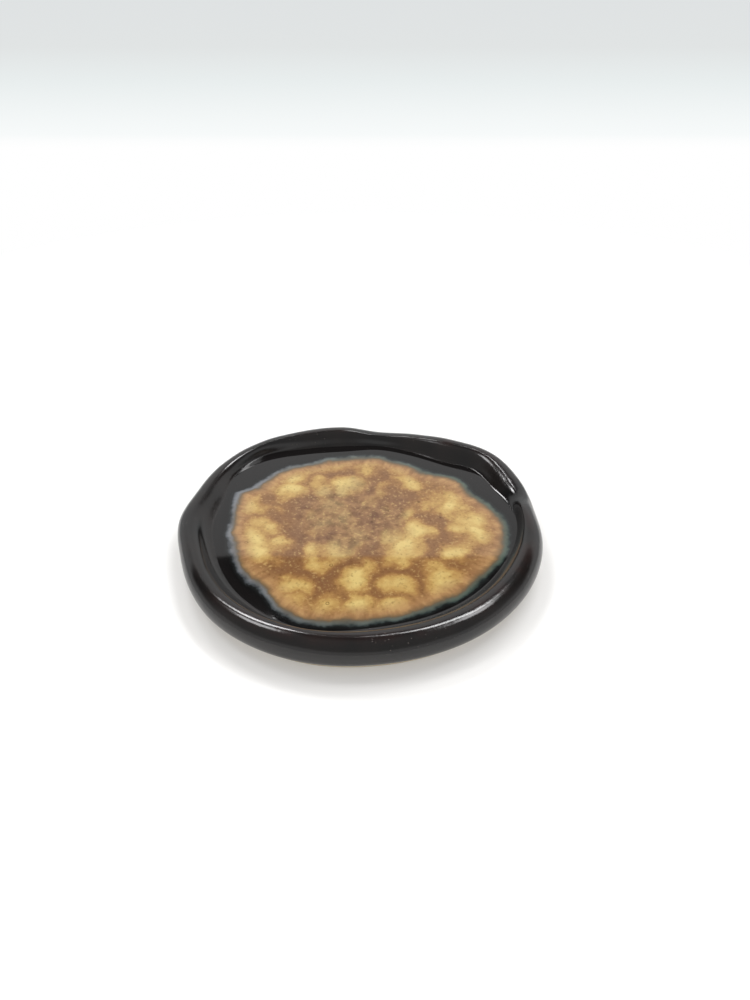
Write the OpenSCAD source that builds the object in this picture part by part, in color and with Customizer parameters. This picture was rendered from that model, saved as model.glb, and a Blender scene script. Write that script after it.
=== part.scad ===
// Hand-built stoneware ring dish: an oval slab with a fat pinched coil round its edge, glossy black
// glaze over the coil and floor, and a pool of amber glaze with a blue-green fringe in the well.
// Millimetres, +Z up, standing on the bare foot at Z = 0, centred on the dish's own outline.

/* [Oval] */
// Width of the even oval that the pinched rim wanders about
dish_w = 86; // [70:1:110]
// Depth of that oval, front to back
dish_d = 81; // [66:1:104]
// How strongly the pinching shows, from 0, an even oval, to 1, as made
pinching = 1; // [0:0.1:1.1]

/* [Slab] */
// Thickness of the clay slab
slab_t = 4.6; // [3.6:0.1:6.5]
// Height of the bare clay below the glaze line
bare_foot_h = 2.2; // [1:0.1:2.6]

/* [Rim] */
// How far the coil stands out past the edge of the slab
overhang = 2.8; // [2.4:0.1:4]
// Rise of the coil's underside, from the glaze line to its widest line
underside_h = 3.2; // [2.4:0.1:3.6]
// Rise of the crest above the glazed floor
rim_rise = 3.6; // [3.2:0.1:6]
// How far the crest lies inside the edge of the slab
crest_inset = 0.6; // [0.2:0.1:1.4]
// Width of the slope from the crest down to the floor
slope_w = 4.4; // [4:0.1:7]

/* [Slip] */
// Thickness of the slip that joins the coil to the slab
slip_t = 0.3; // [0.2:0.05:0.4]

/* [Glaze] */
// Thickness of the black glaze on the rim
rim_glaze_t = 0.5; // [0.3:0.05:0.7]
// Thickness of the black glaze on the floor
floor_glaze_t = 0.6; // [0.5:0.05:1]
// Depth that the pool has eaten into the floor's black glaze
pool_t = 0.35; // [0.2:0.05:0.4]
// Width of the blue-green fringe round the pool
halo_w = 1.4; // [0.6:0.1:2.5]

/* [Smoothness] */
// Steps around the dish
around = 96; // [48:12:120]

/* [Hidden] */

// Steps along the coil's underside, its shoulder and its slope
under_steps = 5;
shoulder_steps = 6;
slope_steps = 9;
// Step of the slope at which the coil ends and the soft clay of the fillet begins
seam_step = 4;

// The potter's pinches, counter-clockwise from the right-hand side. Each row has the angle, then how far
// the rim is pushed out, how far its crest is lifted, how far the crest leans in and how much wider the
// slope is, in millimetres, and how softly the slope runs out, from 0 steep to 1 soft.
pinches = [
    [  5, -0.1, -0.3,  0.0, -3.0, 0.15],
    [ 14,  0.9, -1.7, -0.6, -1.0, 0.60],
    [ 24,  2.2, -1.1, -0.2,  0.2, 0.30],
    [ 38,  3.2,  0.0,  0.2, -0.4, 0.20],
    [ 52,  1.5,  0.2,  0.6,  0.2, 0.30],
    [ 66,  0.2, -0.4,  0.4, -1.2, 0.35],
    [ 82, -0.4, -1.2,  0.4, -2.6, 0.35],
    [ 98,  0.9,  0.0,  0.6, -1.4, 0.25],
    [115,  1.7, -0.2,  0.4, -1.8, 0.20],
    [132,  2.5, -0.8, -0.2, -3.0, 0.20],
    [148,  1.6, -1.2, -0.6, -1.8, 0.60],
    [163,  0.1, -1.3, -0.8,  0.4, 0.90],
    [178,  0.1, -1.0, -0.8,  1.2, 0.95],
    [196, -1.1, -0.6, -0.6,  0.6, 0.90],
    [225,  0.2,  0.0, -0.2,  0.6, 0.70],
    [250,  0.4,  0.4,  0.0, -0.2, 0.55],
    [280, -0.1,  0.2,  0.0,  1.0, 0.50],
    [310,  0.2,  0.2,  0.0,  1.0, 0.40],
    [335,  0.3,  0.2,  0.2,  0.1, 0.25],
    [350,  0.2,  0.1,  0.2, -1.4, 0.15]];

// How far the pool stops short of the foot of the slope: the angle and the gap in millimetres
pool_gaps = [
    [  4, 2.2], [ 14, 3.8], [ 38, 5.6], [ 62, 5.0], [ 95, 4.4], [126, 7.4], [148, 7.0], [158, 2.6],
    [180, 3.2], [212, 2.8], [226, 3.8], [240, 1.4], [264, 0.9], [286, 0.7], [312, 0.9], [346, 0.7]];

floor_z = slab_t + floor_glaze_t;
belly_z = bare_foot_h + underside_h;

clay_colour = "#cdbfa6";
slip_colour = "#bfae92";
black_colour = "#1c1a1a";
halo_colour = "#7c8c88";
amber_colour = "#b98844";

// Row i of a list that goes round the dish, with its angle carried past a full turn
function row_at(rows, i) =
    let (turn = floor(i / len(rows)), row = rows[i - turn * len(rows)])
    [for (c = [0:len(row) - 1]) c == 0 ? row[0] + 360 * turn : row[c]];

// Smooth curve through the rows at angle a: a row of the same kind
function between_rows(rows, a) =
    let (
        b = a - 360 * floor((a - rows[0][0]) / 360),
        i = max([for (k = [0:len(rows) - 1]) if (rows[k][0] <= b) k]),
        p0 = row_at(rows, i - 1), p1 = row_at(rows, i), p2 = row_at(rows, i + 1), p3 = row_at(rows, i + 2),
        span = p2[0] - p1[0],
        t = (b - p1[0]) / span,
        m1 = (p2 - p0) * span / (p2[0] - p0[0]),
        m2 = (p3 - p1) * span / (p3[0] - p1[0])
    )
    (2 * t^3 - 3 * t^2 + 1) * p1 + (t^3 - 2 * t^2 + t) * m1 + (3 * t^2 - 2 * t^3) * p2 + (t^3 - t^2) * m2;

// Radius of the even oval at angle a
function oval(a) = 1 / norm([cos(a) / (dish_w / 2), sin(a) / (dish_d / 2)]);

angles = [for (i = [0:around - 1]) 360 * i / around];

// The rim at each angle: [radius of the widest line, slab's edge, crest, foot of the slope, crest's height, ease]
rim = [for (a = angles)
    let (
        pinch = between_rows(pinches, a),
        belly_r = oval(a) + pinching * pinch[1],
        slab_r = belly_r - overhang,
        crest_r = slab_r - crest_inset - pinching * pinch[3]
    )
    [belly_r, slab_r, crest_r, crest_r - slope_w - pinching * pinch[4],
     floor_z + rim_rise + pinching * pinch[2], pinch[5]]];
function belly_r(i) = rim[i][0];
function slab_r(i) = rim[i][1];
function crest_r(i) = rim[i][2];
function toe_r(i) = rim[i][3];
function crest_z(i) = rim[i][4];
function ease(i) = rim[i][5];
function pool_r(i) = toe_r(i) - between_rows(pool_gaps, angles[i])[1];

// Point at radius r and height z, on the ray at angle number i
function around_point(i, r, z) = [r * cos(angles[i]), r * sin(angles[i]), z];
function outline(radii) = [for (i = [0:around - 1]) [for (c = [0:1]) around_point(i, radii[i], 0)[c]]];

// The slope from the crest, level there, down to the foot point, drawn out level by its ease
function slope_point(crest, foot, ease, t) =
    let (
        w = crest[0] - foot[0],
        leave = [crest[0] - 0.55 * w, crest[1]],
        arrive = [foot[0] + (0.08 + 0.5 * ease) * w, foot[1]]
    )
    (1 - t)^3 * crest + 3 * (1 - t)^2 * t * leave + 3 * (1 - t) * t^2 * arrive + t^3 * foot;

// Upright section of a skin, from under the coil, out round its belly, over the crest and down the slope
function skin(i, start, belly, crest, foot) = concat(
    [for (k = [0:under_steps - 1]) let (turn = 90 * k / under_steps)
        [start[0] + (belly[0] - start[0]) * sin(turn), belly[1] - (belly[1] - start[1]) * cos(turn)]],
    [for (k = [0:shoulder_steps - 1]) let (turn = 90 * k / shoulder_steps)
        [crest[0] + (belly[0] - crest[0]) * cos(turn), belly[1] + (crest[1] - belly[1]) * sin(turn)]],
    [for (k = [0:slope_steps]) slope_point(crest, foot, ease(i), k / slope_steps)]);

function glazed_skin(i) = skin(i, [slab_r(i), bare_foot_h], [belly_r(i), belly_z],
    [crest_r(i), crest_z(i)], [toe_r(i), floor_z]);
function clay_skin(i) = skin(i, [slab_r(i) + slip_t, bare_foot_h + rim_glaze_t],
    [belly_r(i) - rim_glaze_t, belly_z], [crest_r(i), crest_z(i) - rim_glaze_t],
    [toe_r(i) + rim_glaze_t, slab_t]);

// Where the coil's clay ends on the slope, and where its underside meets the slip on the slab
seam_index = under_steps + shoulder_steps + seam_step;
function seam(i) = clay_skin(i)[seam_index];
function tuck_r(i) = (seam(i)[0] + slab_r(i)) / 2;

// Solid ring from one closed section per angle, each quad cut along its shorter diagonal
module ring_solid(sections) {
    per = len(sections[0]);
    points = [for (i = [0:around - 1]) for (p = sections[i]) around_point(i, p[0], p[1])];
    faces = [for (i = [0:around - 1]) for (k = [0:per - 1])
        let (
            j = (i + 1) % around, n = (k + 1) % per,
            a = i * per + k, b = i * per + n, c = j * per + n, d = j * per + k,
            cut_ac = norm(points[a] - points[c]) <= norm(points[b] - points[d])
        )
        each cut_ac ? [[a, b, c], [a, c, d]] : [[a, b, d], [b, c, d]]];
    polyhedron(points = points, faces = faces, convexity = 6);
}

// Level layer between two heights inside an outline of radii
module layer(radii, low, high) {
    translate([0, 0, low]) linear_extrude(high - low) polygon(outline(radii));
}

slab_radii = [for (i = [0:around - 1]) slab_r(i)];
toe_radii = [for (i = [0:around - 1]) toe_r(i)];
pool_radii = [for (i = [0:around - 1]) pool_r(i)];
amber_radii = [for (i = [0:around - 1]) pool_r(i) - halo_w];

// Puts the middle of the pinched outline over the origin
rim_outline = outline([for (i = [0:around - 1]) belly_r(i)]);
function middle(c) = (min([for (p = rim_outline) p[c]]) + max([for (p = rim_outline) p[c]])) / 2;
module centred() {
    translate([-middle(0), -middle(1), 0]) children();
}

// Pale stoneware slab, flat and bare underneath
module clay_slab() {
    color(clay_colour) centred() layer(slab_radii, 0, slab_t);
}

// Fat coil of clay that hangs over the slab's edge
module rim_coil() {
    color(clay_colour) centred() ring_solid([for (i = [0:around - 1]) concat(
        [for (k = [0:seam_index]) clay_skin(i)[k]],
        [[tuck_r(i), slab_t + slip_t], [slab_r(i) + slip_t, slab_t + slip_t]])]);
}

// Slip on the slab's top and edge, under the coil
module slip_joint() {
    color(slip_colour) centred() ring_solid([for (i = [0:around - 1]) [
        [slab_r(i), bare_foot_h + rim_glaze_t],
        [slab_r(i) + slip_t, bare_foot_h + rim_glaze_t],
        [slab_r(i) + slip_t, slab_t + slip_t],
        [tuck_r(i), slab_t + slip_t],
        [tuck_r(i), slab_t],
        [slab_r(i), slab_t]]]);
}

// Soft clay worked into the inside corner, from the coil's seam down to the foot of the slope
module seam_fillet() {
    color(slip_colour) centred() ring_solid([for (i = [0:around - 1])
        let (curve = clay_skin(i)) concat(
            [for (k = [seam_index:len(curve) - 1]) curve[k]],
            [[tuck_r(i), slab_t], [tuck_r(i), slab_t + slip_t]])]);
}

// Black glaze over the coil and slope, ending on the bare edge below and on the slab inside
module rim_glaze() {
    color(black_colour) centred() ring_solid([for (i = [0:around - 1])
        let (clay = clay_skin(i)) concat(
            glazed_skin(i),
            [[toe_r(i), slab_t]],
            [for (k = [len(clay) - 1:-1:0]) clay[k]],
            [[slab_r(i), bare_foot_h + rim_glaze_t]])]);
}

// Black glaze on the floor, with the pool's shallow bed in it
module floor_glaze() {
    color(black_colour) centred() difference() {
        layer(toe_radii, slab_t, floor_z);
        layer(pool_radii, floor_z - pool_t, floor_z + 1);
    }
}

// Blue-green fringe where the pool has run into the black
module halo_glaze() {
    color(halo_colour) centred() difference() {
        layer(pool_radii, floor_z - pool_t, floor_z);
        layer(amber_radii, floor_z - pool_t - 1, floor_z + 1);
    }
}

// Pool of amber glaze
module amber_glaze() {
    color(amber_colour) centred() layer(amber_radii, floor_z - pool_t, floor_z);
}

clay_slab();
rim_coil();
slip_joint();
seam_fillet();
rim_glaze();
floor_glaze();
halo_glaze();
amber_glaze();
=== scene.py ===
# Hand-built stoneware ring dish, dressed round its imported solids: a fat pinched rim under glossy black
# glaze, a pool of amber reactive glaze with a blue-green fringe in the well, and a bare clay foot.
import math

import bmesh
import bpy
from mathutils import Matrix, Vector, noise


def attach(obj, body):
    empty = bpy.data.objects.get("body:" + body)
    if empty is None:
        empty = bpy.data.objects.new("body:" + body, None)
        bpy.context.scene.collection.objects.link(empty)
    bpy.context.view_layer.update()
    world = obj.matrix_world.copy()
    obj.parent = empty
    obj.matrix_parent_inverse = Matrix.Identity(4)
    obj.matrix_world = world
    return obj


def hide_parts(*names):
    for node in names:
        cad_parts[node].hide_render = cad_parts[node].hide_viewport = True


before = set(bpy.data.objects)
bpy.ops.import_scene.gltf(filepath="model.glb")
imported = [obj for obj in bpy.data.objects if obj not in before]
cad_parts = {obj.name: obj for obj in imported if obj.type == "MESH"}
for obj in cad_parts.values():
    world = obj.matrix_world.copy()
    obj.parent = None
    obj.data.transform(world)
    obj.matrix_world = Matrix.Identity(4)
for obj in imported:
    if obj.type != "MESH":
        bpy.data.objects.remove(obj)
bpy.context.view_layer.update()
MM = 0.001

# The camera stands in front of the dish and looks down at it, with the dish's middle a little left of
# the picture's and its horizon level.
camera_place = (3.9 * MM, -130.7 * MM, 117.2 * MM)
camera_looks_down = math.radians(38.5)
camera_data = bpy.data.cameras.new("camera")
camera_data.lens = 25.92
camera_data.sensor_width = 36
camera_data.clip_start = 10 * MM
camera_data.clip_end = 20
camera = bpy.data.objects.new("camera", camera_data)
camera.location = camera_place
camera.rotation_euler = (math.pi / 2 - camera_looks_down, 0, 0)
bpy.context.scene.collection.objects.link(camera)
bpy.context.scene.camera = camera

# Glazed rim: black glaze over a fat coil of clay, which the potter pinched into uneven lobes. It hangs
# over the slab's edge, and inside it slopes to the floor, steep on the right and soft on the left.
# Sizes are in millimetres, and the driving ones are those that the solids were drawn with.
dish_w = 86
dish_d = 81
slab_t = 4.6
bare_foot_h = 2.2
overhang = 2.8
underside_h = 3.2
rim_rise = 3.6
crest_inset = 0.6
slope_w = 4.4
slip_t = 0.3
rim_glaze_t = 0.5
floor_glaze_t = 0.6
floor_z = slab_t + floor_glaze_t
belly_z = bare_foot_h + underside_h
around = 480
outline_steps = 96
under_steps = 12
shoulder_steps = 18
slope_steps = 30
# Height and spread of the shallow waves that fingers leave in soft clay, and the upward share of them
finger_wave = 0.10
finger_wave_length = 7
finger_wave_up = 0.5
# Angle, push out, lift of the crest, lean in of the crest, extra width of the slope, and its ease
pinches = [
    [5, -0.1, -0.3, 0.0, -3.0, 0.15],
    [14, 0.9, -1.7, -0.6, -1.0, 0.60],
    [24, 2.2, -1.1, -0.2, 0.2, 0.30],
    [38, 3.2, 0.0, 0.2, -0.4, 0.20],
    [52, 1.5, 0.2, 0.6, 0.2, 0.30],
    [66, 0.2, -0.4, 0.4, -1.2, 0.35],
    [82, -0.4, -1.2, 0.4, -2.6, 0.35],
    [98, 0.9, 0.0, 0.6, -1.4, 0.25],
    [115, 1.7, -0.2, 0.4, -1.8, 0.20],
    [132, 2.5, -0.8, -0.2, -3.0, 0.20],
    [148, 1.6, -1.2, -0.6, -1.8, 0.60],
    [163, 0.1, -1.3, -0.8, 0.4, 0.90],
    [178, 0.1, -1.0, -0.8, 1.2, 0.95],
    [196, -1.1, -0.6, -0.6, 0.6, 0.90],
    [225, 0.2, 0.0, -0.2, 0.6, 0.70],
    [250, 0.4, 0.4, 0.0, -0.2, 0.55],
    [280, -0.1, 0.2, 0.0, 1.0, 0.50],
    [310, 0.2, 0.2, 0.0, 1.0, 0.40],
    [335, 0.3, 0.2, 0.2, 0.1, 0.25],
    [350, 0.2, 0.1, 0.2, -1.4, 0.15],
]


def row_at(rows, i):
    turn, place = divmod(i, len(rows))
    return [rows[place][0] + 360 * turn] + rows[place][1:]


def between_rows(rows, angle):
    """Smooth curve through the rows of a list that goes round the dish."""
    b = angle - 360 * math.floor((angle - rows[0][0]) / 360)
    i = max(k for k, row in enumerate(rows) if row[0] <= b)
    p0, p1, p2, p3 = (row_at(rows, i + k) for k in (-1, 0, 1, 2))
    span = p2[0] - p1[0]
    t = (b - p1[0]) / span
    near = 2 * t**3 - 3 * t**2 + 1
    leaving = t**3 - 2 * t**2 + t
    far = 3 * t**2 - 2 * t**3
    arriving = t**3 - t**2
    found = []
    for v0, v1, v2, v3 in zip(p0, p1, p2, p3):
        m1 = (v2 - v0) * span / (p2[0] - p0[0])
        m2 = (v3 - v1) * span / (p3[0] - p1[0])
        found.append(near * v1 + leaving * m1 + far * v2 + arriving * m2)
    return found


def rim_at(angle):
    """Radii of the widest line, the slab's edge, the crest and the slope's foot, then the crest's height
    and the slope's ease."""
    a = math.radians(angle)
    _, push, lift, lean, extra, ease = between_rows(pinches, angle)
    belly_r = 1 / math.hypot(math.cos(a) / (dish_w / 2), math.sin(a) / (dish_d / 2)) + push
    slab_r = belly_r - overhang
    crest_r = slab_r - crest_inset - lean
    return belly_r, slab_r, crest_r, crest_r - slope_w - extra, floor_z + rim_rise + lift, ease


def outline_middle():
    """Middle of the rim's outline, which stands over the origin."""
    points = []
    for k in range(outline_steps):
        angle = 360 * k / outline_steps
        r = rim_at(angle)[0]
        points.append((r * math.cos(math.radians(angle)), r * math.sin(math.radians(angle))))
    xs, ys = zip(*points)
    return (min(xs) + max(xs)) / 2, (min(ys) + max(ys)) / 2


middle_x, middle_y = outline_middle()
# The slope's two handles, as shares of its width: how far the crest stays level, and how far the foot
# lies flat at an ease of 0 and for each whole step of ease
crest_level = 0.55
foot_level = 0.08
ease_level = 0.5


def skin(start, belly, crest, foot, ease):
    """Section from under the coil, out round its belly, over the crest and down the slope."""
    points = []
    for k in range(under_steps):
        turn = math.pi / 2 * k / under_steps
        across = start[0] + (belly[0] - start[0]) * math.sin(turn)
        points.append((across, belly[1] - (belly[1] - start[1]) * math.cos(turn)))
    for k in range(shoulder_steps):
        turn = math.pi / 2 * k / shoulder_steps
        across = crest[0] + (belly[0] - crest[0]) * math.cos(turn)
        points.append((across, belly[1] + (crest[1] - belly[1]) * math.sin(turn)))
    width = crest[0] - foot[0]
    leave = (crest[0] - crest_level * width, crest[1])
    arrive = (foot[0] + (foot_level + ease_level * ease) * width, foot[1])
    for k in range(slope_steps + 1):
        t = k / slope_steps
        weights = ((1 - t) ** 3, 3 * (1 - t) ** 2 * t, 3 * (1 - t) * t**2, t**3)
        corners = (crest, leave, arrive, foot)
        points.append(tuple(sum(w * c[axis] for w, c in zip(weights, corners)) for axis in (0, 1)))
    return points


def rim_section(angle):
    belly_r, slab_r, crest_r, toe_r, crest_z, ease = rim_at(angle)
    glazed = skin((slab_r, bare_foot_h), (belly_r, belly_z), (crest_r, crest_z), (toe_r, floor_z), ease)
    last = len(glazed) - 1
    waved = []
    for k, (r, z) in enumerate(glazed):
        a = math.radians(angle)
        here = Vector((r * math.cos(a), r * math.sin(a), z)) / finger_wave_length
        fade = math.sin(math.pi * k / last) ** 2
        push = finger_wave * fade * noise.noise(here)
        waved.append((r + push, z + push * finger_wave_up))
    clay = skin(
        (slab_r + slip_t, bare_foot_h + rim_glaze_t),
        (belly_r - rim_glaze_t, belly_z),
        (crest_r, crest_z - rim_glaze_t),
        (toe_r + rim_glaze_t, slab_t),
        ease,
    )
    return waved + [(toe_r, slab_t)] + clay[::-1] + [(slab_r, bare_foot_h + rim_glaze_t)]


doubles_within = 0.002
sharp_past = math.radians(40)


def spun_piece(name, section_at, closed=True):
    """A mesh whose upright section changes as it goes round. It is spun flat, a millimetre to each point
    of the section, and then every point is moved to its place."""
    count = len(section_at(0))
    bm = bmesh.new()
    edge_of_pool = bm.verts.layers.float.new("inside_pool_mm")
    spoke = [bm.verts.new((k + 1, 0, 0)) for k in range(count)]
    joins = [bm.edges.new(pair) for pair in zip(spoke, spoke[1:])]
    if closed:
        joins.append(bm.edges.new((spoke[-1], spoke[0])))
    bmesh.ops.spin(
        bm,
        geom=spoke + joins,
        axis=(0, 0, 1),
        cent=(0, 0, 0),
        angle=2 * math.pi,
        steps=around,
        use_merge=True,
    )
    sections = [section_at(360 * step / around) for step in range(around)]
    pool_edges = [pool_r(360 * step / around) for step in range(around)]
    for v in bm.verts:
        step = round(math.atan2(v.co.y, v.co.x) / (2 * math.pi) * around) % around
        r, z = sections[step][round(v.co.xy.length) - 1]
        a = 2 * math.pi * step / around
        v[edge_of_pool] = min(pool_edges[step] - r, deep_in_pool)
        v.co = (r * math.cos(a) - middle_x, r * math.sin(a) - middle_y, z)
    bmesh.ops.remove_doubles(bm, verts=bm.verts, dist=doubles_within)
    bmesh.ops.recalc_face_normals(bm, faces=bm.faces)
    bmesh.ops.scale(bm, vec=(MM, MM, MM), verts=bm.verts)
    return finished(name, bm)


def finished(name, bm):
    mesh = bpy.data.meshes.new(name)
    bm.to_mesh(mesh)
    bm.free()
    mesh.shade_smooth()
    mesh.set_sharp_from_angle(angle=sharp_past)
    piece = bpy.data.objects.new(name, mesh)
    bpy.context.scene.collection.objects.link(piece)
    return piece


# How far the pool stops short of the foot of the slope: the angle and the gap in millimetres
pool_gaps = [
    [4, 2.2], [14, 3.8], [38, 5.6], [62, 5.0], [95, 4.4], [126, 7.4], [148, 7.0], [158, 2.6],
    [180, 3.2], [212, 2.8], [226, 3.8], [240, 1.4], [264, 0.9], [286, 0.7], [312, 0.9], [346, 0.7],
]
# Past this far inside the pool's edge, its colours no longer follow the edge
deep_in_pool = 15


def pool_r(angle):
    return rim_at(angle)[3] - between_rows(pool_gaps, angle)[1]


def linear(hex_colour):
    """sRGB hex colour as linear RGBA."""
    shares = [int(hex_colour[k : k + 2], 16) / 255 for k in (1, 3, 5)]
    return [c / 12.92 if c <= 0.04045 else ((c + 0.055) / 1.055) ** 2.4 for c in shares] + [1]


def node(tree, kind, inputs=None, stops=None, **settings):
    """Adds a node with its settings, its ramp's stops, and its inputs' values or links."""
    made = tree.nodes.new("ShaderNode" + kind)
    for name, value in settings.items():
        setattr(made, name, value)
    if stops:
        elements = made.color_ramp.elements
        while len(elements) < len(stops):
            elements.new(1)
        for element, (place, colour) in zip(elements, stops):
            element.position = place
            element.color = linear(colour) if isinstance(colour, str) else (colour, colour, colour, 1)
    for socket, value in (inputs or {}).items():
        if isinstance(value, bpy.types.NodeSocket):
            tree.links.new(value, made.inputs[socket])
        else:
            made.inputs[socket].default_value = value
    return made


def new_material(name):
    """An empty node material, its tree, and its Object coordinates in millimetres."""
    material = bpy.data.materials.new(name)
    material.use_nodes = True
    tree = material.node_tree
    tree.nodes.clear()
    coords = node(tree, "TexCoord").outputs["Object"]
    in_mm = node(tree, "Mapping", {"Vector": coords, "Scale": (1000, 1000, 1000)}).outputs[0]
    return material, tree, in_mm


# Gloss black stoneware glaze, dipped and fired: mirror-smooth over a faint orange peel, near black, with
# a dark red where it breaks thin over the crest, and a few pinholes from burst bubbles.
tone_mm = 9
thin_patch_mm = 5
peel_mm = 1.6
pinhole_mm = 1.0
pinhole_patch_mm = 14
thin_from_z = 8.2
thin_at_z = 9.3
black_glaze, tree, in_mm = new_material("gloss_black_glaze")
tone = node(tree, "TexNoise", {"Vector": in_mm, "Scale": 1 / tone_mm, "Detail": 4})
body = node(tree, "ValToRGB", {"Fac": tone.outputs["Fac"]}, stops=[(0.35, "#0e0d0d"), (0.7, "#1b1614")])
height = node(tree, "SeparateXYZ", {"Vector": in_mm}).outputs["Z"]
thin = node(
    tree,
    "MapRange",
    {"Value": height, "From Min": thin_from_z, "From Max": thin_at_z, "To Min": 0, "To Max": 0.45},
)
patchy = node(tree, "TexNoise", {"Vector": in_mm, "Scale": 1 / thin_patch_mm, "Detail": 3})
patches = node(tree, "ValToRGB", {"Fac": patchy.outputs["Fac"]}, stops=[(0.42, 0), (0.62, 1)])
breaks = node(tree, "Math", {0: thin.outputs[0], 1: patches.outputs[0]}, operation="MULTIPLY")
glaze_colour = node(
    tree, "Mix", {0: breaks.outputs[0], 6: body.outputs[0], 7: linear("#2c130f")}, data_type="RGBA"
)
cells = node(tree, "TexVoronoi", {"Vector": in_mm, "Scale": 1 / pinhole_mm})
holes = node(tree, "ValToRGB", {"Fac": cells.outputs["Distance"]}, stops=[(0.07, 1), (0.13, 0)])
where = node(tree, "TexNoise", {"Vector": in_mm, "Scale": 1 / pinhole_patch_mm, "Detail": 2})
some = node(tree, "ValToRGB", {"Fac": where.outputs["Fac"]}, stops=[(0.57, 0), (0.66, 1)])
pinholes = node(tree, "Math", {0: holes.outputs[0], 1: some.outputs[0]}, operation="MULTIPLY")
speckled = node(
    tree,
    "Mix",
    {0: pinholes.outputs[0], 6: glaze_colour.outputs[2], 7: linear("#4c423c")},
    data_type="RGBA",
)
peel = node(tree, "TexNoise", {"Vector": in_mm, "Scale": 1 / peel_mm, "Detail": 2})
bump_depth = 0.1 * MM
peel_bump = node(tree, "Bump", {"Height": peel.outputs["Fac"], "Strength": 0.22, "Distance": bump_depth})
pitted = node(
    tree,
    "Bump",
    {
        "Height": pinholes.outputs[0],
        "Strength": 0.6,
        "Distance": bump_depth,
        "Normal": peel_bump.outputs[0],
    },
    invert=True,
)
surface = node(
    tree,
    "BsdfPrincipled",
    {"Base Color": speckled.outputs[2], "Roughness": 0.16, "IOR": 1.55, "Normal": pitted.outputs[0]},
)
node(tree, "OutputMaterial", {"Surface": surface.outputs[0]})

glazed_rim = spun_piece("glazed_rim", rim_section)
glazed_rim.data.materials.append(black_glaze)
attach(glazed_rim, "root")
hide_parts("rim_glaze")

# Well: three fired glazes that melted into one level mirror. Black lies next to the slope with a shallow
# bed in it, a blue-green fringe rings the bed, and the amber pool fills it.
pool_t = 0.35
halo_w = 1.4
bed_z = floor_z - pool_t
black_top_steps = 6
fringe_top_steps = 3
pool_top_steps = 24


def spread(near, far, steps):
    return [near + (far - near) * k / steps for k in range(steps + 1)]


def floor_section(angle):
    toe_r = rim_at(angle)[3]
    edge_r = pool_r(angle)
    top = [(r, floor_z) for r in spread(toe_r, edge_r, black_top_steps)]
    return [(toe_r, slab_t)] + top + [(edge_r, bed_z), (0, bed_z), (0, slab_t), (toe_r, slab_t)]


def halo_section(angle):
    edge_r = pool_r(angle)
    top = [(r, floor_z) for r in spread(edge_r, edge_r - halo_w, fringe_top_steps)]
    return [(edge_r, bed_z)] + top + [(edge_r - halo_w, bed_z)]


def amber_section(angle):
    edge_r = pool_r(angle) - halo_w
    return [(0, bed_z), (edge_r, bed_z)] + [(r, floor_z) for r in spread(edge_r, 0, pool_top_steps)]


# Amber reactive glaze, flooded into the well and fired: gold clouds and brown breaks in a clear glossy
# depth. It shades from a smoky brown middle through gold cells and a peach band with fine radial
# streaks to the blue-green fringe, and past the fringe it is the black glaze.
slow_wander_mm = 5
quick_wander_mm = 0.9
band_starts = -2
band_ends = 12
streak_mm = 1.6
streak_circle_mm = 30
cell_mm = 8
cell_bend_mm = 7
smoke_mm = 2.5
smoke_middle = (-2, 3, floor_z)
smoke_full_r = 9
smoke_gone_r = 17
speckle_mm = 0.7
bubble_spacing_mm = 5
ripple_mm = 7
reactive_glaze, tree, in_mm = new_material("amber_reactive_glaze")
inside = node(tree, "Attribute", attribute_name="inside_pool_mm").outputs["Fac"]
slow = node(tree, "TexNoise", {"Vector": in_mm, "Scale": 1 / slow_wander_mm, "Detail": 3})
slow_wander = node(tree, "MapRange", {"Value": slow.outputs["Fac"], "To Min": -1.4, "To Max": 1.4})
quick = node(tree, "TexNoise", {"Vector": in_mm, "Scale": 1 / quick_wander_mm, "Detail": 3})
quick_wander = node(tree, "MapRange", {"Value": quick.outputs["Fac"], "To Min": -0.3, "To Max": 0.3})
wander = node(tree, "Math", {0: slow_wander.outputs[0], 1: quick_wander.outputs[0]}, operation="ADD")
depth_in = node(tree, "Math", {0: inside, 1: wander.outputs[0]}, operation="ADD").outputs[0]
# The share runs from 0 at 2 mm outside the pool's edge to 1 at 12 mm inside it
share = node(tree, "MapRange", {"Value": depth_in, "From Min": band_starts, "From Max": band_ends})
share_in = share.outputs[0]
band = node(
    tree,
    "ValToRGB",
    {"Fac": share_in},
    stops=[
        (0.00, "#131111"),
        (0.09, "#0e0d0d"),
        (0.17, "#1f2222"),
        (0.25, "#5d5343"),
        (0.32, "#7e6143"),
        (0.40, "#98714a"),
        (0.60, "#a57d4c"),
        (0.85, "#a37a4a"),
    ],
)
fringe_strength = node(
    tree, "ValToRGB", {"Fac": share_in}, stops=[(0.14, 0), (0.19, 0.45), (0.22, 0.55), (0.27, 0)]
)
fringe_breaks = node(
    tree, "MapRange", {"Value": slow.outputs["Fac"], "From Min": 0.35, "From Max": 0.6, "To Min": 0.35}
)
fringe_shown = node(
    tree, "Math", {0: fringe_strength.outputs[0], 1: fringe_breaks.outputs[0]}, operation="MULTIPLY"
)
# The fringe turns from blue-grey on the left to green on the right
left_edge = -26
right_edge = 24
across = node(tree, "SeparateXYZ", {"Vector": in_mm}).outputs["X"]
across_share = node(tree, "MapRange", {"Value": across, "From Min": left_edge, "From Max": right_edge})
fringe_tone = node(
    tree,
    "ValToRGB",
    {"Fac": across_share.outputs[0]},
    stops=[(0, "#8b9098"), (0.35, "#6a7474"), (1, "#53685f")],
)
fringed = node(
    tree,
    "Mix",
    {0: fringe_shown.outputs[0], 6: band.outputs[0], 7: fringe_tone.outputs[0]},
    data_type="RGBA",
)
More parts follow.
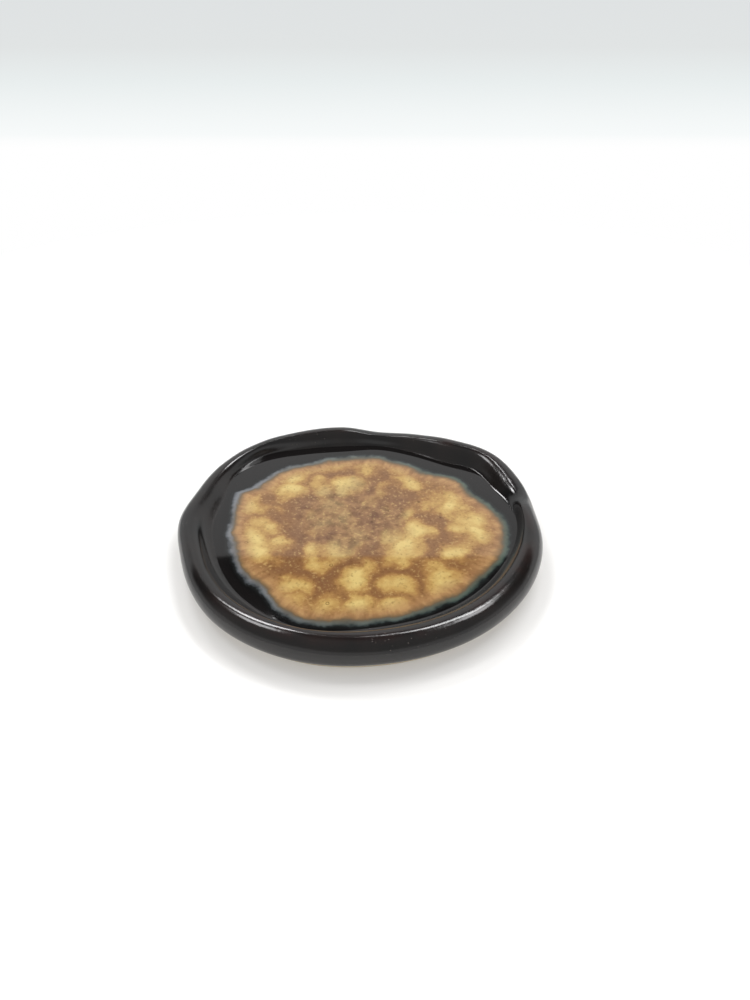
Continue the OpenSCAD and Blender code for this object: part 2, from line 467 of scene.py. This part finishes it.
# Streaks point to the middle: their noise is read on one circle, and changes slowly with depth
streak_drift = 0.22
level = node(tree, "VectorMath", {0: in_mm, 1: (1, 1, 0)}, operation="MULTIPLY")
unit = node(tree, "VectorMath", {0: level.outputs[0]}, operation="NORMALIZE")
on_circle = node(tree, "VectorMath", {0: unit.outputs[0], "Scale": streak_circle_mm}, operation="SCALE")
climb = node(tree, "Math", {0: depth_in, 1: streak_drift}, operation="MULTIPLY")
upright = node(tree, "CombineXYZ", {"Z": climb.outputs[0]})
streak_place = node(tree, "VectorMath", {0: on_circle.outputs[0], 1: upright.outputs[0]}, operation="ADD")
streaks = node(tree, "TexNoise", {"Vector": streak_place.outputs[0], "Scale": 1 / streak_mm, "Detail": 3})
streak_tone = node(
    tree, "ValToRGB", {"Fac": streaks.outputs["Fac"]}, stops=[(0.36, "#866243"), (0.64, "#b99263")]
)
streak_near = node(
    tree,
    "ValToRGB",
    {"Fac": share_in},
    stops=[(0.27, 0), (0.36, 0.6), (0.5, 0.35), (0.7, 0)],
)
streaked = node(
    tree,
    "Mix",
    {0: streak_near.outputs[0], 6: fringed.outputs[2], 7: streak_tone.outputs[0]},
    data_type="RGBA",
)
# Gold cells are pushed out of round by up to this many millimetres
cell_push = 11
bend = node(tree, "TexNoise", {"Vector": in_mm, "Scale": 1 / cell_bend_mm, "Detail": 5})
bend_by = node(tree, "VectorMath", {0: bend.outputs["Color"], "Scale": cell_push}, operation="SCALE")
bent = node(tree, "VectorMath", {0: in_mm, 1: bend_by.outputs[0]}, operation="ADD")
gold_cells = node(
    tree,
    "TexVoronoi",
    {"Vector": bent.outputs[0], "Scale": 1 / cell_mm, "Smoothness": 0.25},
    feature="SMOOTH_F1",
)
cell_tone = node(
    tree,
    "ValToRGB",
    {"Fac": gold_cells.outputs["Distance"]},
    stops=[
        (0.18, "#cfb876"),
        (0.42, "#b49357"),
        (0.54, "#977144"),
        (0.66, "#7a5537"),
        (0.88, "#704e37"),
    ],
)
in_cells = node(tree, "ValToRGB", {"Fac": share_in}, stops=[(0.36, 0), (0.62, 0.85)])
clouded = node(
    tree,
    "Mix",
    {0: in_cells.outputs[0], 6: streaked.outputs[2], 7: cell_tone.outputs[0]},
    data_type="RGBA",
)
# The smoky middle lies a little behind the centre
from_middle = node(tree, "VectorMath", {0: in_mm, 1: smoke_middle}, operation="DISTANCE")
middle_wander = node(tree, "MapRange", {"Value": bend.outputs["Fac"], "To Min": -9, "To Max": 9})
middle_at = node(
    tree, "Math", {0: from_middle.outputs["Value"], 1: middle_wander.outputs[0]}, operation="ADD"
)
smoky = node(
    tree,
    "MapRange",
    {
        "Value": middle_at.outputs[0],
        "From Min": smoke_full_r,
        "From Max": smoke_gone_r,
        "To Min": 0.8,
        "To Max": 0,
    },
)
smoke_noise = node(tree, "TexNoise", {"Vector": in_mm, "Scale": 1 / smoke_mm, "Detail": 5})
smoke_tone = node(
    tree,
    "ValToRGB",
    {"Fac": smoke_noise.outputs["Fac"]},
    stops=[(0.36, "#604230"), (0.5, "#7f5d42"), (0.66, "#957350")],
)
smoked = node(
    tree,
    "Mix",
    {0: smoky.outputs[0], 6: clouded.outputs[2], 7: smoke_tone.outputs[0]},
    data_type="RGBA",
)
fine = node(tree, "TexNoise", {"Vector": in_mm, "Scale": 1 / speckle_mm, "Detail": 4})
dark_spots = node(tree, "ValToRGB", {"Fac": fine.outputs["Fac"]}, stops=[(0.56, 0), (0.72, 0.4)])
deep_only = node(tree, "ValToRGB", {"Fac": share_in}, stops=[(0.3, 0), (0.5, 1)])
spots = node(tree, "Math", {0: dark_spots.outputs[0], 1: deep_only.outputs[0]}, operation="MULTIPLY")
spotted = node(
    tree,
    "Mix",
    {0: spots.outputs[0], 6: smoked.outputs[2], 7: linear("#4f3218")},
    data_type="RGBA",
)
light_spots = node(tree, "ValToRGB", {"Fac": fine.outputs["Fac"]}, stops=[(0.30, 0.3), (0.44, 0)])
light = node(tree, "Math", {0: light_spots.outputs[0], 1: deep_only.outputs[0]}, operation="MULTIPLY")
crystalled = node(
    tree,
    "Mix",
    {0: light.outputs[0], 6: spotted.outputs[2], 7: linear("#d8bb78")},
    data_type="RGBA",
)
# Burst bubbles leave a few dark round marks under a millimetre across
bubbles = node(tree, "TexVoronoi", {"Vector": in_mm, "Scale": 1 / bubble_spacing_mm})
bubble_line = node(
    tree,
    "ValToRGB",
    {"Fac": bubbles.outputs["Distance"]},
    stops=[(0.045, 0), (0.06, 1), (0.075, 1), (0.095, 0)],
)
chance = node(tree, "SeparateColor", {"Color": bubbles.outputs["Color"]}).outputs[0]
picked = node(tree, "Math", {0: chance, 1: 0.62}, operation="GREATER_THAN")
marks = node(tree, "Math", {0: bubble_line.outputs[0], 1: picked.outputs[0]}, operation="MULTIPLY")
marks_in = node(tree, "Math", {0: marks.outputs[0], 1: deep_only.outputs[0]}, operation="MULTIPLY")
mark_share = node(tree, "Math", {0: marks_in.outputs[0], 1: 0.65}, operation="MULTIPLY")
bubbled = node(
    tree,
    "Mix",
    {0: mark_share.outputs[0], 6: crystalled.outputs[2], 7: linear("#4a3016")},
    data_type="RGBA",
)
ripple = node(tree, "TexNoise", {"Vector": in_mm, "Scale": 1 / ripple_mm, "Detail": 1})
ripple_bump = node(
    tree, "Bump", {"Height": ripple.outputs["Fac"], "Strength": 0.08, "Distance": bump_depth}
)
surface = node(
    tree,
    "BsdfPrincipled",
    {
        "Base Color": bubbled.outputs[2],
        "Roughness": 0.035,
        "IOR": 1.52,
        "Normal": ripple_bump.outputs[0],
    },
)
node(tree, "OutputMaterial", {"Surface": surface.outputs[0]})

well_floor = spun_piece("black_well_floor", floor_section, closed=False)
fringe = spun_piece("blue_green_fringe", halo_section)
amber_pool = spun_piece("amber_pool", amber_section, closed=False)
for piece, cad_node, finish in (
    (well_floor, "floor_glaze", "black_glaze"),
    (fringe, "halo_glaze", "blue_green_glaze"),
    (amber_pool, "amber_glaze", "amber_glaze"),
):
    piece.data.materials.append(reactive_glaze)
    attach(piece, "root")
    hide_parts(cad_node)

# Slab: the pale stoneware disc that the coil sits on, rolled out, cut and left bare below the glaze
# line. Its bottom edge was softened with a wet sponge.
foot_round = 0.5
foot_round_steps = 4


def slab_section(angle):
    r = rim_at(angle)[1]
    corner = [
        (r - foot_round + foot_round * math.cos(t), foot_round - foot_round * math.sin(t))
        for t in (math.pi / 2 * (1 - k / foot_round_steps) for k in range(foot_round_steps + 1))
    ]
    return [(0, 0)] + corner + [(r, slab_t), (0, slab_t)]


# Fired stoneware, sponged and bare: cream, matt and gritty, with iron specks in the body.
warm_mm = 12
iron_mm = 1.3
grit_mm = 0.35
stoneware, tree, in_mm = new_material("bare_fired_stoneware")
warm = node(tree, "TexNoise", {"Vector": in_mm, "Scale": 1 / warm_mm, "Detail": 4})
clay_tone = node(
    tree, "ValToRGB", {"Fac": warm.outputs["Fac"]}, stops=[(0.35, "#c3b397"), (0.65, "#d8ccb3")]
)
specks = node(tree, "TexVoronoi", {"Vector": in_mm, "Scale": 1 / iron_mm})
iron = node(tree, "ValToRGB", {"Fac": specks.outputs["Distance"]}, stops=[(0.06, 0.8), (0.12, 0)])
clay_colour = node(
    tree, "Mix", {0: iron.outputs[0], 6: clay_tone.outputs[0], 7: linear("#6b5238")}, data_type="RGBA"
)
grit = node(tree, "TexNoise", {"Vector": in_mm, "Scale": 1 / grit_mm, "Detail": 3})
grit_bump = node(tree, "Bump", {"Height": grit.outputs["Fac"], "Strength": 0.35, "Distance": bump_depth})
surface = node(
    tree,
    "BsdfPrincipled",
    {"Base Color": clay_colour.outputs[2], "Roughness": 0.85, "Normal": grit_bump.outputs[0]},
)
node(tree, "OutputMaterial", {"Surface": surface.outputs[0]})

slab = spun_piece("stoneware_slab", slab_section, closed=False)
slab.data.materials.append(stoneware)
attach(slab, "root")
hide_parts("clay_slab")

# Coil and fillet: the same clay under the glaze, and out of sight in a whole dish.
for cad_node in ("rim_coil", "seam_fillet"):
    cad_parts[cad_node].data.materials.clear()
    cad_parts[cad_node].data.materials.append(stoneware)

# Slip: the creamy clay that was brushed on the scored slab, a little darker than the body.
brush_mm = 1.5
slip_clay, tree, in_mm = new_material("fired_clay_slip")
brushed = node(tree, "TexNoise", {"Vector": in_mm, "Scale": 1 / brush_mm, "Detail": 4})
slip_tone = node(
    tree, "ValToRGB", {"Fac": brushed.outputs["Fac"]}, stops=[(0.35, "#ad9b7d"), (0.65, "#c4b395")]
)
slip_bump = node(tree, "Bump", {"Height": brushed.outputs["Fac"], "Strength": 0.3, "Distance": bump_depth})
surface = node(
    tree,
    "BsdfPrincipled",
    {"Base Color": slip_tone.outputs[0], "Roughness": 0.8, "Normal": slip_bump.outputs[0]},
)
node(tree, "OutputMaterial", {"Surface": surface.outputs[0]})
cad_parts["slip_joint"].data.materials.clear()
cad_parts["slip_joint"].data.materials.append(slip_clay)

# White table and backdrop: one sheet of matt card that lies flat and turns up behind the dish. Its sizes
# are in metres.
sweep_half_w = 3.0
sweep_front = -4.0
sweep_turn = 0.40
sweep_radius = 0.12
sweep_top = 0.50
sweep_turn_steps = 12
bm = bmesh.new()
profile = [(sweep_front, 0), (0, 0), (sweep_turn, 0)]
for k in range(1, sweep_turn_steps + 1):
    t = math.pi / 2 * k / sweep_turn_steps
    profile.append((sweep_turn + sweep_radius * math.sin(t), sweep_radius - sweep_radius * math.cos(t)))
profile.append((sweep_turn + sweep_radius, sweep_top))
line = [bm.verts.new((-sweep_half_w, y, z)) for y, z in profile]
folds = [bm.edges.new(pair) for pair in zip(line, line[1:])]
pulled = bmesh.ops.extrude_edge_only(bm, edges=folds)
moved = [v for v in pulled["geom"] if isinstance(v, bmesh.types.BMVert)]
bmesh.ops.translate(bm, vec=(2 * sweep_half_w, 0, 0), verts=moved)
sweep = finished("white_sweep", bm)
card, tree, in_mm = new_material("matt_white_card")
rays = node(tree, "LightPath")
card_z = node(tree, "SeparateXYZ", {"Vector": in_mm}).outputs["Z"]
# Painted shade: the card is grey only in a low strip where it turns up and gets less light, and white
# again by 160 mm up
grey_ends = 160
card_up = node(tree, "MapRange", {"Value": card_z, "From Min": 0, "From Max": grey_ends})
card_painted_shade = node(
    tree,
    "ValToRGB",
    {"Fac": card_up.outputs[0]},
    stops=[
        (0.0, "#ffffff"),
        (0.02, "#f7fafa"),
        (0.175, "#e9eeee"),
        (0.3, "#e1e4e4"),
        (0.5, "#dfe2e3"),
        (0.58, "#dfe2e3"),
        (1.0, "#ffffff"),
    ],
)
matt = node(tree, "BsdfDiffuse", {"Color": linear("#dadada")})
seen = node(
    tree, "Math", {0: rays.outputs["Is Camera Ray"], 1: rays.outputs["Is Glossy Ray"]}, operation="MAXIMUM"
)
table_lift = 0.22
lift = node(tree, "Math", {0: seen.outputs[0], 1: table_lift}, operation="MULTIPLY")
lifted = node(tree, "Emission", {"Color": linear("#fffaf2"), "Strength": lift.outputs[0]})
on_table = node(tree, "AddShader", {0: matt.outputs[0], 1: lifted.outputs[0]})
dimmed = node(tree, "MapRange", {"Value": rays.outputs["Is Glossy Ray"], "To Min": 1, "To Max": 0.78})
# The card glows in its colour ramp, which includes the painted shade of the grey strip, for camera and
# glossy rays
card_glow = node(tree, "Emission", {"Color": card_painted_shade.outputs[0], "Strength": dimmed.outputs[0]})
rises = node(tree, "ValToRGB", {"Fac": card_up.outputs[0]}, stops=[(0.0, 0), (0.03, 1)])
# The table keeps its shadows near the dish, and is plain white from this far on
shadows_fade = 90
shadows_end = 260
away = node(tree, "VectorMath", {0: in_mm}, operation="LENGTH")
far_off = node(
    tree, "MapRange", {"Value": away.outputs["Value"], "From Min": shadows_fade, "From Max": shadows_end}
)
plain = node(tree, "Math", {0: rises.outputs[0], 1: far_off.outputs[0]}, operation="MAXIMUM")
glows = node(tree, "Math", {0: seen.outputs[0], 1: plain.outputs[0]}, operation="MULTIPLY")
card_surface = node(
    tree, "MixShader", {0: glows.outputs[0], 1: on_table.outputs[0], 2: card_glow.outputs[0]}
)
node(tree, "OutputMaterial", {"Surface": card_surface.outputs[0]})
sweep.data.materials.append(card)

# Room: white round the card's level, and dark higher up, as the glaze reflects it. Its even light comes
# more from the front than from the back.
world = bpy.data.worlds.new("room")
bpy.context.scene.world = world
world.use_nodes = True
tree = world.node_tree
tree.nodes.clear()
rays = node(tree, "LightPath")
direction = node(tree, "TexCoord").outputs["Generated"]
up = node(tree, "SeparateXYZ", {"Vector": direction}).outputs["Z"]
towards_back = node(tree, "SeparateXYZ", {"Vector": direction}).outputs["Y"]
low_down = node(tree, "ValToRGB", {"Fac": up}, stops=[(0.2, 0.8), (0.45, 0)])
back_at = 0.35
front_at = -0.1
in_front = node(
    tree,
    "MapRange",
    {"Value": towards_back, "From Min": back_at, "From Max": front_at, "To Min": 0.04, "To Max": 0.36},
)
room_tone = node(tree, "Math", {0: low_down.outputs[0], 1: in_front.outputs[0]}, operation="MAXIMUM")
reflected = node(tree, "Background", {"Color": (1, 1, 1, 1), "Strength": room_tone.outputs[0]})
fill_tone = node(
    tree,
    "MapRange",
    {"Value": towards_back, "From Min": back_at, "From Max": front_at, "To Min": 0.3, "To Max": 0.85},
)
fill = node(tree, "Background", {"Color": (1, 1, 1, 1), "Strength": fill_tone.outputs[0]})
seen_white = node(tree, "Background", {"Color": (1, 1, 1, 1), "Strength": 1})
lit = node(
    tree, "MixShader", {0: rays.outputs["Is Glossy Ray"], 1: fill.outputs[0], 2: reflected.outputs[0]}
)
shown = node(
    tree, "MixShader", {0: rays.outputs["Is Camera Ray"], 1: lit.outputs[0], 2: seen_white.outputs[0]}
)
node(tree, "OutputWorld", {"Surface": shown.outputs[0]})

# Lamps: four soft panels high round the back, which draw the long highlights along the rim. Each has
# its place, width and depth in metres and its power in watts.
for name, place, width, depth, power in (
    ("low_left_panel", (-0.20, 0.42, 0.62), 0.20, 0.10, 1.3),
    ("low_right_panel", (0.18, 0.36, 0.66), 0.28, 0.10, 1.6),
    ("high_left_panel", (-0.32, 0.12, 0.62), 0.18, 0.16, 0.8),
    ("high_right_panel", (0.32, 0.14, 0.62), 0.20, 0.18, 0.9),
):
    lamp = bpy.data.lights.new(name, "AREA")
    lamp.shape = "RECTANGLE"
    lamp.size = width
    lamp.size_y = depth
    lamp.energy = power
    stand = bpy.data.objects.new(name, lamp)
    stand.location = place
    stand.rotation_euler = (-Vector(place)).to_track_quat("-Z", "Y").to_euler()
    bpy.context.scene.collection.objects.link(stand)

bpy.context.scene.view_settings.view_transform = "Standard"
